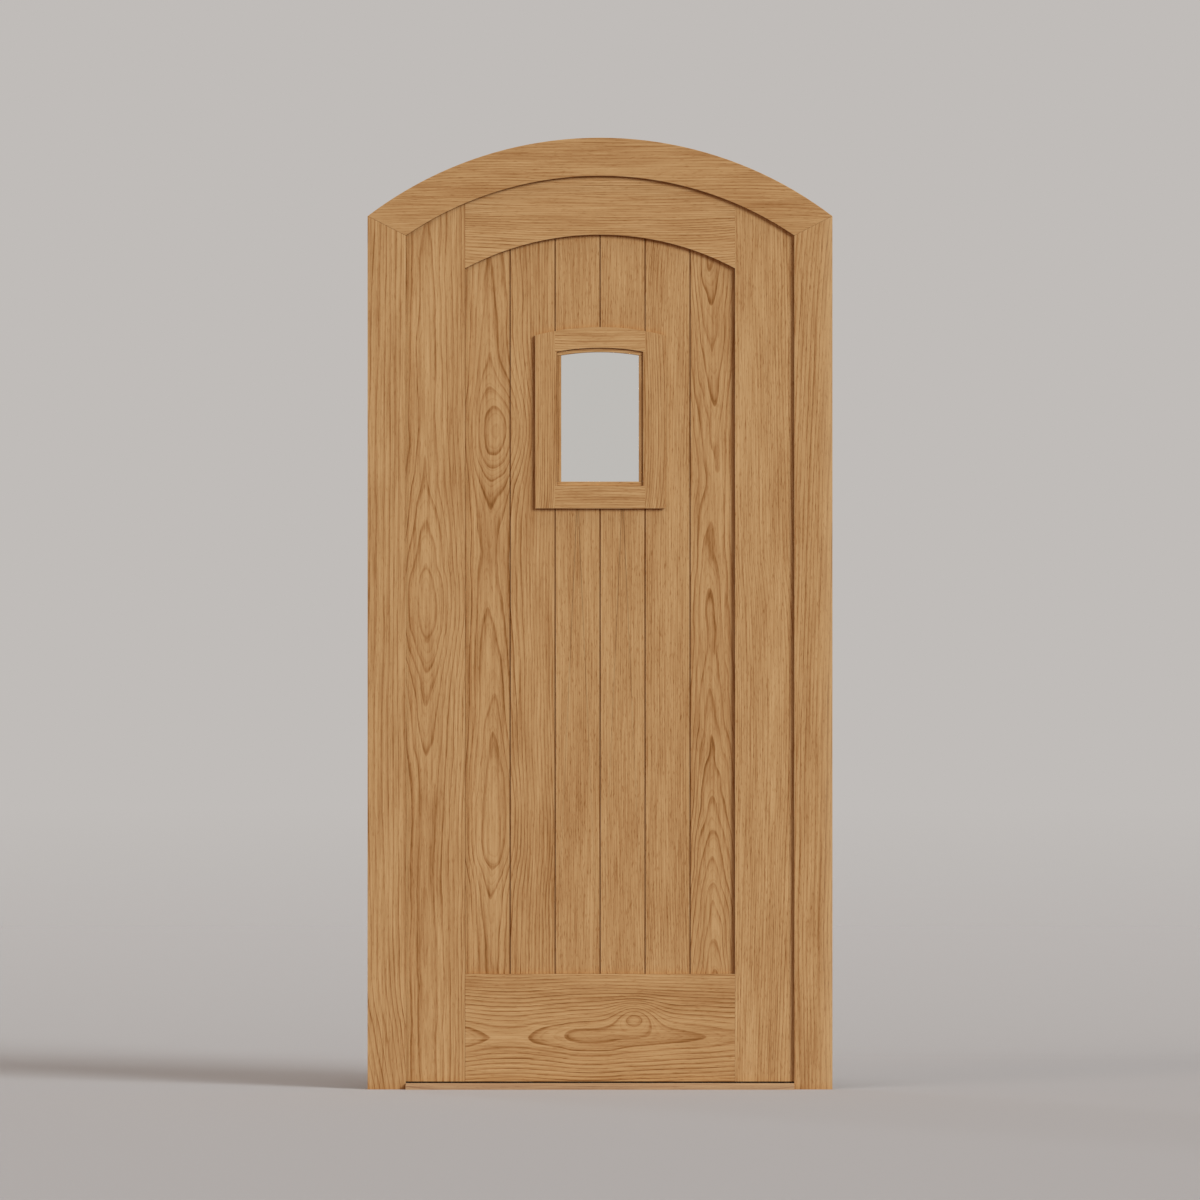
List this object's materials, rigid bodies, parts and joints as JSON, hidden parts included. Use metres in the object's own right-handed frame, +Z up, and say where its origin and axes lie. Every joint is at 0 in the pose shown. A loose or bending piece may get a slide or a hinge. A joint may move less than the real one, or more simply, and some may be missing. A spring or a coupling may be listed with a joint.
{
  "type": "arched wooden door",
  "caption": "Arched oak door in its frame: a boarded leaf with stiles, rails and a small glazed opening, hung on butt hinges and opening inward over a low sill.",
  "frame": {"origin": "on the floor under the sill, in the middle of the doorway and of the frame's depth", "axes": "facing the door from outside, +X to the right, +Y into the room that the leaf opens into, +Z up"},
  "size_m": [1.012, 0.0835, 2.072],
  "materials": {
    "oak": "satin clear oil",
    "hinge_steel": "satin",
    "clear_glass": "clear, polished",
    "seal_rubber": "matt dark brown",
    "block_plastic": "matt"
  },
  "bodies": {
    "frame": {"arched_head": "oak", "frame_hinge_screws": "hinge_steel", "head_tenon_left": "oak", "head_tenon_right": "oak", "hinge_bottom_frame_plate": "hinge_steel", "hinge_bottom_pin": "hinge_steel", "hinge_middle_frame_plate": "hinge_steel", "hinge_middle_pin": "hinge_steel", "hinge_top_frame_plate": "hinge_steel", "hinge_top_pin": "hinge_steel", "jamb_left": "oak", "jamb_right": "oak", "seal_head": "seal_rubber", "seal_left": "seal_rubber", "seal_right": "seal_rubber", "sill": "oak", "sill_dowels": "oak"},
    "leaf": {"bead_back_bottom": "oak", "bead_back_left": "oak", "bead_back_right": "oak", "bead_back_top": "oak", "bead_front_bottom": "oak", "bead_front_left": "oak", "bead_front_right": "oak", "bead_front_top": "oak", "bottom_rail": "oak", "glazing_blocks": "block_plastic", "hinge_bottom_leaf_plate": "hinge_steel", "hinge_middle_leaf_plate": "hinge_steel", "hinge_top_leaf_plate": "hinge_steel", "leaf_hinge_screws": "hinge_steel", "plank_1": "oak", "plank_2": "oak", "plank_3_lower": "oak", "plank_3_upper": "oak", "plank_4_lower": "oak", "plank_4_upper": "oak", "plank_5": "oak", "plank_6": "oak", "seal_bottom": "seal_rubber", "stile_left": "oak", "stile_right": "oak", "top_rail": "oak", "vision_back_bottom_rail": "oak", "vision_back_stile_left": "oak", "vision_back_stile_right": "oak", "vision_back_top_rail": "oak", "vision_front_bottom_rail": "oak", "vision_front_stile_left": "oak", "vision_front_stile_right": "oak", "vision_front_top_rail": "oak", "vision_glass": "clear_glass", "vision_screws": "hinge_steel"}
  },
  "joints": [
    {"name": "leaf_swing", "type": "hinge", "parent": "frame", "child": "leaf", "pos_m": [-0.4335, 0.0335, 0], "axis": [0, 0, 1], "range_deg": [0, 120]}
  ]
}
